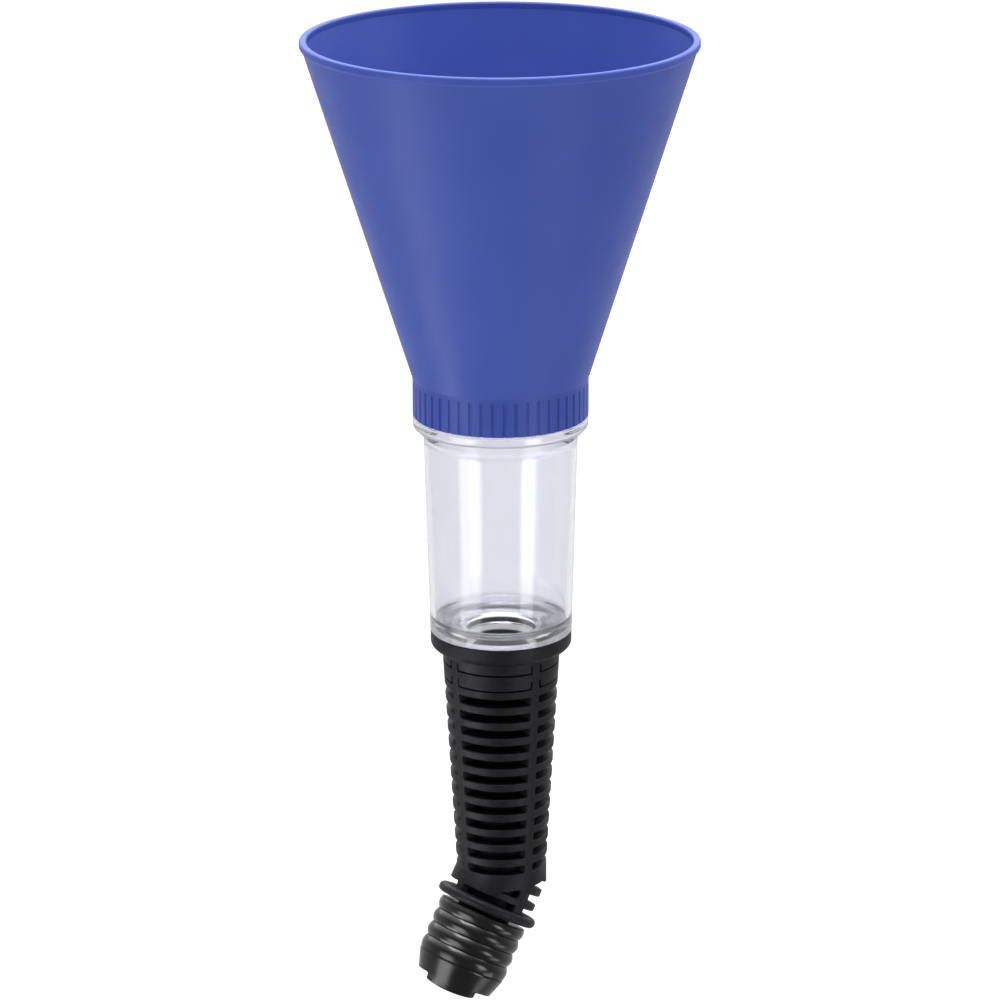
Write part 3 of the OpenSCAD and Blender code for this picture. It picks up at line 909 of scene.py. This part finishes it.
def make_plug():
    """The ribbed plug: four ridges, a tapered tip and one tongue, with the rest of the tip's end
    cut short."""
    ridges = [p for k in range(RIDGES)
              for p in ridge_points(FIRST_RIDGE_L + k * RIDGE_PITCH,
                                    RIDGE_R - VALLEY_DEPTH if k < RIDGES - 1 else TIP_TOP_R)]
    ridges = [p for p in ridges if p[1] < -PLUG_TOP_L - 0.8]
    drop = (TIP_TOP_R - TIP_R) / (TIP_END_L - TIP_TOP_L)
    end_r = TIP_R - drop * (TONGUE_END_L - TIP_END_L) - TONGUE_LEAN
    bore = SPIGOT_R + 0.05
    mouth = NECK_OUT_R + 0.4
    shoulder = RING_L - 0.3
    tip_top = -(FIRST_RIDGE_L + RIDGE_PITCH * (RIDGES - 0.5) + CREASE_W / 2)
    profile = [(mouth, -PLUG_TOP_L, 0.3), (ridges[0][0] - 0.1, -PLUG_TOP_L, 0.5)] + ridges
    profile += [(TIP_TOP_R, tip_top, 0.1), (TIP_TOP_R, -TIP_TOP_L, 0.8), (TIP_EDGE_R, -TIP_END_L, 0.8),
                (end_r, -TONGUE_END_L, 0.9),
                (TIP_BORE_R, -TONGUE_END_L, 0.4), (TIP_BORE_R, -shoulder), (bore, -shoulder, 0.2),
                (bore, -NECK_END_L - 0.3), (mouth, -NECK_END_L - 0.3)]
    plug = lathe("plug", filleted(profile), NOZZLE_FRAME, 256)
    turned = NOZZLE_FRAME @ Matrix.Rotation(TONGUE_ANGLE, 4, "Z")
    short = lathe("short", [(0, -TIP_END_L), (FAR, -TIP_END_L), (FAR, -TONGUE_END_L - 2),
                            (0, -TONGUE_END_L - 2)], turned, 64)
    outwards = Matrix(((0, 0, 1), (1, 0, 0), (0, 1, 0))).to_4x4()
    cut(short, prism("keep", tongue_outline(), 0, FAR + 8, turned @ outwards))
    cut(plug, short)
    return finish_piece(plug, "nozzle_plug_ribbed", "nozzle_plug", "nozzle",
                        GLOSS_BLACK, 38)


# ---------------------------------------------------------------- build the pieces

make_cone()
make_gasket()
make_outlet_seal()
make_cup()
make_spout()
make_plug()

# The two rings hidden in the plug stay as the CAD made them and only get their materials.
for node, material in (("plug_o_ring", GASKET), ("plug_retaining_ring", STEEL)):
    mesh = frame["nodes"][node].data
    mesh.materials.clear()
    mesh.materials.append(material)


# ---------------------------------------------------------------- floor, light and camera

VIEW_AZIMUTH = -37
AXIS_DISTANCE = 1.6259
CAMERA_ABOVE_RIM = 0.3188
PITCH_DOWN = math.radians(17.464)
LENS = 148.96
ROLL = math.radians(-0.12)
SIDE_SHIFT = -0.0008
FLOOR_Z = -0.75
FRONT_GLOW = 0.18
BACK_GLOW = 0.72
TOP_GLOW = 0.35
EDGE_FADE = 0.3
BACKDROP_DISTANCE = 4.2
BACKDROP_LIGHT_H = 2.6


def outward(azimuth, elevation=0):
    """Unit vector away from the funnel. Azimuth 0 points along -Y and 90 along +X."""
    a, e = math.radians(azimuth), math.radians(elevation)
    return Vector((math.sin(a) * math.cos(e), -math.cos(a) * math.cos(e), math.sin(e)))


def make_floor():
    """A plain pale floor, well under the nozzle, because the funnel is held by its nozzle."""
    bm = bmesh.new()
    bmesh.ops.create_grid(bm, x_segments=1, y_segments=1, size=12000)
    floor = add_object("floor", bm, Matrix.Translation((0, 0, FLOOR_Z / MM)))
    n = Nodes("floor_pale")
    n.link(n.tint(n.noise(2, 2), (0.74, 0.74, 0.74), (0.76, 0.76, 0.76)),
           n.shader.inputs["Base Color"])
    n.set(Roughness=0.9)
    floor.data.materials.append(n.material)
    floor.visible_glossy = False


def soften_edges(light, ramp):
    """Fades a rectangular light out towards its edges, over a share of its width and height."""
    light.use_nodes = True
    tree = light.node_tree
    split = tree.nodes.new("ShaderNodeSeparateXYZ")
    across = tree.nodes.new("ShaderNodeNewGeometry").outputs["Parametric"]
    tree.links.new(across, split.inputs["Vector"])
    strength = tree.nodes.new("ShaderNodeMath")
    strength.operation = "MULTIPLY"
    for place, socket in zip("XY", strength.inputs):
        fade = tree.nodes.new("ShaderNodeMath")
        fade.operation = "PINGPONG"
        fade.inputs[1].default_value = 0.5
        tree.links.new(split.outputs[place], fade.inputs[0])
        step = tree.nodes.new("ShaderNodeMapRange")
        step.interpolation_type = "SMOOTHSTEP"
        step.inputs["From Max"].default_value = ramp
        tree.links.new(fade.outputs["Value"], step.inputs["Value"])
        tree.links.new(step.outputs["Result"], socket)
    tree.links.new(strength.outputs["Value"], tree.nodes["Emission"].inputs["Strength"])


def area_light(name, place, aim, size, radiance):
    """A soft box that fades out towards its edges. Its size is measured where it is half as
    bright as in its middle, and its brightness is set by radiance and not by power."""
    light = bpy.data.lights.new(name, "AREA")
    light.shape = "RECTANGLE"
    width, tall = [length / (1 - EDGE_FADE) for length in size]
    light.size, light.size_y = width, tall
    light.energy = radiance * math.pi * width * tall
    soften_edges(light, EDGE_FADE)
    obj = bpy.data.objects.new(name, light)
    obj.location = place
    obj.rotation_euler = (place - aim).to_track_quat("Z", "Y").to_euler()
    obj.visible_camera = False
    bpy.context.scene.collection.objects.link(obj)


def make_lights():
    """Softboxes on both sides of the camera and overhead, bright paper low on both sides, and
    the light on the backdrop. Each has its azimuth from the camera's, its elevation and distance,
    its size and its radiance."""
    middle = Vector((AXIS_X * MM, 0, 0.05))
    for name, azimuth, elevation, distance, size, radiance in (
            ("softbox_left", -50, -8, 1.3, (0.74, 0.85), 3.1),
            ("softbox_right", 43, -10, 1.3, (0.46, 0.65), 3.8),
            ("softbox_side", 85, 38, 1.5, (0.45, 0.5), 3.0),
            ("softbox_top", 0, 84, 1.6, (0.9, 0.7), 9.5),
            ("paper_left", -76, -30, 0.8, (0.33, 0.25), 4.5),
            ("paper_right", 60, -46, 0.7, (0.3, 0.2), 1.8)):
        place = middle + outward(VIEW_AZIMUTH + azimuth, elevation) * distance
        area_light(name, place, middle, size, radiance)
    behind = outward(VIEW_AZIMUTH + 180) * BACKDROP_DISTANCE + Vector((0, 0, FLOOR_Z))
    area_light("backdrop_light", behind + Vector((0, 0, BACKDROP_LIGHT_H)), behind, (6.5, 7.5), 1.73)


def make_camera():
    """The photo's camera: its place is measured from the middle of the rim."""
    camera = bpy.data.objects.new("camera", bpy.data.cameras.new("camera"))
    camera.data.lens = LENS
    camera.data.sensor_width = 36
    camera.data.clip_end = 100
    camera.data.shift_x = SIDE_SHIFT
    rim = Vector((AXIS_X * MM, 0, (RIM_H + ELBOW_Z) * MM + CAMERA_ABOVE_RIM))
    camera.location = rim + outward(VIEW_AZIMUTH) * AXIS_DISTANCE
    level = Matrix.Rotation(math.radians(VIEW_AZIMUTH), 3, "Z") @ Matrix.Rotation(
        math.pi / 2 - PITCH_DOWN, 3, "X")
    camera.rotation_euler = (level @ Matrix.Rotation(ROLL, 3, "Z")).to_euler()
    bpy.context.scene.collection.objects.link(camera)
    bpy.context.scene.camera = camera


def world_glow(tree, direction, towards, start, end, low, high):
    """A soft step of brightness for directions that turn towards a given one."""
    dot = tree.nodes.new("ShaderNodeVectorMath")
    dot.operation = "DOT_PRODUCT"
    dot.inputs[1].default_value = towards
    tree.links.new(direction, dot.inputs[0])
    glow = tree.nodes.new("ShaderNodeMapRange")
    glow.interpolation_type = "SMOOTHSTEP"
    glow.inputs["From Min"].default_value = start
    glow.inputs["From Max"].default_value = end
    glow.inputs["To Min"].default_value = low
    glow.inputs["To Max"].default_value = high
    tree.links.new(dot.outputs["Value"], glow.inputs["Value"])
    return glow.outputs["Result"]


def make_world():
    """A white studio, bright behind the funnel and above it, and dim in front."""
    world = bpy.data.worlds.new("studio")
    world.use_nodes = True
    tree = world.node_tree
    direction = tree.nodes.new("ShaderNodeTexCoord").outputs["Generated"]
    back = world_glow(tree, direction, outward(VIEW_AZIMUTH + 180), -0.6, 1, FRONT_GLOW, BACK_GLOW)
    top = world_glow(tree, direction, (0, 0, 1), 0.45, 1, 0, TOP_GLOW)
    total = tree.nodes.new("ShaderNodeMath")
    tree.links.new(back, total.inputs[0])
    tree.links.new(top, total.inputs[1])
    background = tree.nodes["Background"]
    background.inputs["Color"].default_value = (0.98, 0.985, 1, 1)
    tree.links.new(total.outputs["Value"], background.inputs["Strength"])
    bpy.context.scene.world = world
    bpy.context.scene.view_settings.view_transform = "Standard"


make_floor()
make_lights()
make_world()
make_camera()
